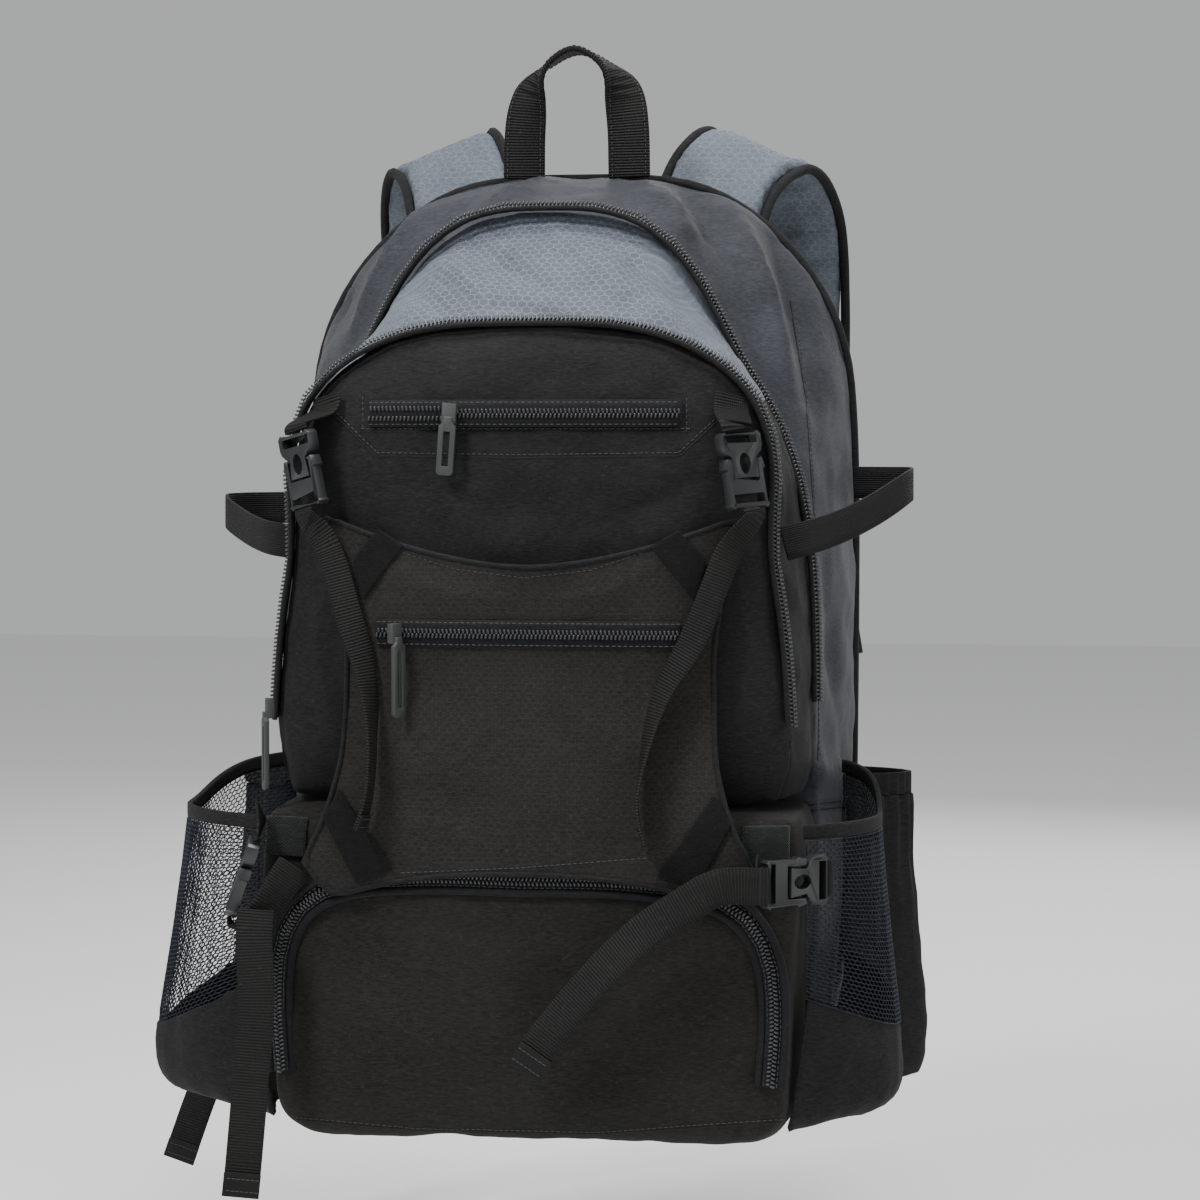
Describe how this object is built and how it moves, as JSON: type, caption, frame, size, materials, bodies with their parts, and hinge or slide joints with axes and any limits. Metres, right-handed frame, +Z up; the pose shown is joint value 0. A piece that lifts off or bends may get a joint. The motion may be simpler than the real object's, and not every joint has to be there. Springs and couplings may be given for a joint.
{
  "type": "baseball bat backpack",
  "caption": "Worn-shape sports backpack with side bat sleeves and loops, mesh bottle pockets, a buckled front holder panel and padded shoulder straps.",
  "frame": {"origin": "underside of the crest of the two shoulder straps, midway between them, where the bag rests on the wearer's shoulders", "axes": "+Z up; +Y towards the wearer, -Y out of the bag's front; +X to the right seen from behind the wearer, facing the bag's front"},
  "size_m": [0.4929, 0.3916, 0.7012],
  "materials": {
    "padding_black": "padded air mesh, matt",
    "cloth_grey": "plain weave polyester, matt with a soft sheen",
    "cloth_slate": "ripstop weave with small hexagons",
    "cloth_black": "plain weave polyester, matt",
    "cloth_charcoal": "stretch weave with faint hexagon dots",
    "mesh_navy": "open knitted mesh",
    "elastic": "ribbed elastic",
    "webbing": "twill woven polyester webbing",
    "zip_tape": "woven tape with a moulded coil",
    "buckle_plastic": "moulded, fine texture",
    "pull_rubber": "moulded, matt"
  },
  "bodies": {
    "root": {"back_panel": "padding_black", "main_shell": "cloth_grey", "middle_shell": "cloth_slate", "front_pocket": "cloth_black", "lower_pocket": "cloth_black", "main_zip": "zip_tape", "pocket_zip": "zip_tape", "lower_zip": "zip_tape", "chest_zip": "zip_tape", "holder_zip": "zip_tape", "holder_panel": "cloth_charcoal", "holder_band_upper_left": "cloth_black", "holder_band_upper_right": "cloth_black", "holder_band_lower_left": "cloth_black", "holder_band_lower_right": "cloth_black", "tab_patch_left": "cloth_black", "tab_patch_right": "cloth_black", "mesh_pocket_left": "mesh_navy", "mesh_rim_left": "elastic", "bat_sleeve_left": "cloth_black", "sleeve_rim_left": "elastic", "shoulder_strap_left": "cloth_slate", "strap_webbing_left": "webbing", "strap_adjuster_left": "buckle_plastic", "strap_tail_left": "webbing", "bat_strap_left": "elastic", "buckle_upper_left_socket": "buckle_plastic", "buckle_upper_left_plug": "buckle_plastic", "tail_upper_left": "webbing", "anchor_upper_left": "webbing", "buckle_lower_left_socket": "buckle_plastic", "buckle_lower_left_plug": "buckle_plastic", "tail_lower_left": "webbing", "anchor_lower_left": "webbing", "corner_web_left": "webbing", "mesh_pocket_right": "mesh_navy", "mesh_rim_right": "elastic", "bat_sleeve_right": "cloth_black", "sleeve_rim_right": "elastic", "shoulder_strap_right": "cloth_slate", "strap_webbing_right": "webbing", "strap_adjuster_right": "buckle_plastic", "strap_tail_right": "webbing", "bat_strap_right": "elastic", "buckle_upper_right_socket": "buckle_plastic", "buckle_upper_right_plug": "buckle_plastic", "tail_upper_right": "webbing", "anchor_upper_right": "webbing", "buckle_lower_right_socket": "buckle_plastic", "buckle_lower_right_plug": "buckle_plastic", "tail_lower_right": "webbing", "anchor_lower_right": "webbing", "corner_web_right": "webbing", "grab_handle": "webbing", "chest_pull": "pull_rubber", "holder_pull": "pull_rubber", "pocket_pull": "pull_rubber"}
  },
  "joints": []
}
